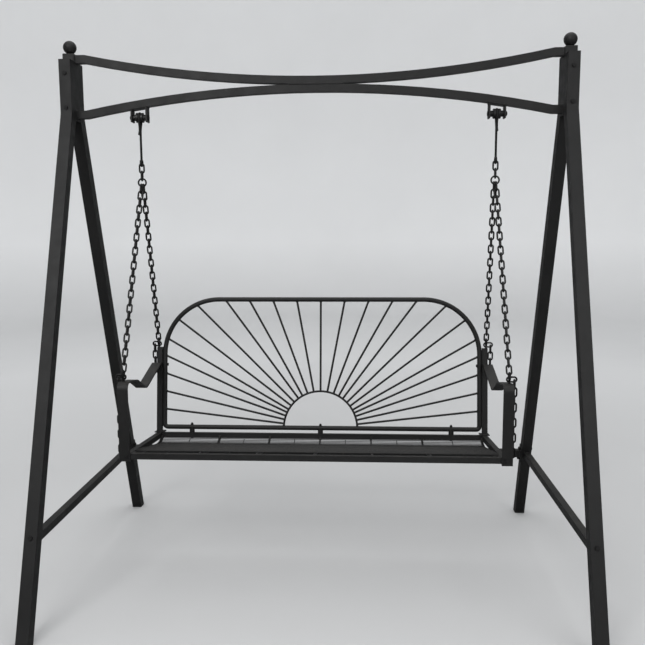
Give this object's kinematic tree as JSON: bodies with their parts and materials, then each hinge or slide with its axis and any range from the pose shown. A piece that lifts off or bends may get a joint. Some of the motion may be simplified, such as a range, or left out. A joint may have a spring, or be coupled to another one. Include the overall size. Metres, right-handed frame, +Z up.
{
  "type": "glider swing",
  "caption": "Black steel porch swing: a bench with a rising-sun back hung on chains from two arched beams between A-frame legs.",
  "frame": {"origin": "on the floor, midway between the side frames and straight under the beams", "axes": "+X to the sitter's left (viewer's right) along the beams, +Y to the rear, behind the backrest, +Z up"},
  "size_m": [1.7826, 1.2322, 1.922],
  "materials": {
    "powder_coat": "satin powder coat",
    "coated_chain": "dip-coated, slightly glossy",
    "dark_fixings": "black zinc, satin",
    "black_plastic": "matte",
    "nylon": "smooth, slightly waxy"
  },
  "bodies": {
    "stand": {"upper_beam": "powder_coat", "lower_beam": "powder_coat", "left_front_leg": "powder_coat", "left_rear_leg": "powder_coat", "right_front_leg": "powder_coat", "right_rear_leg": "powder_coat", "left_post": "powder_coat", "right_post": "powder_coat", "left_finial": "powder_coat", "right_finial": "powder_coat", "left_crossbar": "powder_coat", "right_crossbar": "powder_coat", "left_hanger_bracket": "powder_coat", "right_hanger_bracket": "powder_coat", "rear_stretcher": "powder_coat", "post_bolts": "dark_fixings", "crossbar_bolts": "dark_fixings", "stretcher_bolts": "dark_fixings", "stand_nuts": "dark_fixings", "foot_caps": "black_plastic", "leg_top_caps": "black_plastic", "hanger_bolts": "dark_fixings", "hanger_nuts": "dark_fixings"},
    "left_hanger": {"left_hook": "dark_fixings", "left_roller": "nylon"},
    "right_hanger": {"right_hook": "dark_fixings", "right_roller": "nylon"},
    "bench": {"top_links": "coated_chain", "joining_rings": "coated_chain", "left_front_chain": "coated_chain", "left_rear_chain": "coated_chain", "right_front_chain": "coated_chain", "right_rear_chain": "coated_chain", "seat_front_bar": "powder_coat", "seat_rear_bar": "powder_coat", "seat_ribs": "powder_coat", "seat_mesh": "powder_coat", "seat_rail_plugs": "black_plastic", "back_frame": "powder_coat", "sun_arc": "powder_coat", "sun_rays": "powder_coat", "back_spacers": "powder_coat", "back_bolts": "dark_fixings", "eye_bolts": "dark_fixings", "arm_bolts": "dark_fixings", "back_side_bolts": "dark_fixings", "back_side_washers": "dark_fixings", "foot_plate_bolts": "dark_fixings", "bench_nuts": "dark_fixings", "left_seat_rail": "powder_coat", "right_seat_rail": "powder_coat", "left_upright": "powder_coat", "right_upright": "powder_coat", "left_armrest": "powder_coat", "right_armrest": "powder_coat"},
    "left_front_tail": {"left_front_chain_tail": "coated_chain"},
    "left_rear_tail": {"left_rear_chain_tail": "coated_chain"},
    "right_front_tail": {"right_front_chain_tail": "coated_chain"},
    "right_rear_tail": {"right_rear_chain_tail": "coated_chain"}
  },
  "joints": [
    {"name": "left_hook_swing", "type": "hinge", "parent": "stand", "child": "left_hanger", "pos_m": [-0.624, 0, 1.656], "axis": [1, 0, 0], "range_deg": [-20, 20]},
    {"name": "right_hook_swing", "type": "hinge", "parent": "stand", "child": "right_hanger", "pos_m": [0.624, 0, 1.656], "axis": [1, 0, 0], "range_deg": [-20, 20]},
    {"name": "bench_swing", "type": "hinge", "parent": "left_hanger", "child": "bench", "pos_m": [-0.624, 0, 1.49615], "axis": [1, 0, 0], "range_deg": [-10, 10]},
    {"name": "left_front_tail_swing", "type": "hinge", "parent": "bench", "child": "left_front_tail", "pos_m": [-0.6681, -0.20985, 0.73836], "axis": [1, 0, 0], "range_deg": [-4, 20]},
    {"name": "left_rear_tail_swing", "type": "hinge", "parent": "bench", "child": "left_rear_tail", "pos_m": [-0.6601, 0.225, 0.7862], "axis": [1, 0, 0], "range_deg": [-2, 20]},
    {"name": "right_front_tail_swing", "type": "hinge", "parent": "bench", "child": "right_front_tail", "pos_m": [0.6681, -0.20985, 0.73836], "axis": [1, 0, 0], "range_deg": [-4, 20]},
    {"name": "right_rear_tail_swing", "type": "hinge", "parent": "bench", "child": "right_rear_tail", "pos_m": [0.6601, 0.225, 0.7862], "axis": [1, 0, 0], "range_deg": [-2, 20]}
  ],
  "couplings": [
    {"joint": "right_hook_swing", "follows": "left_hook_swing", "ratio": 1}
  ]
}
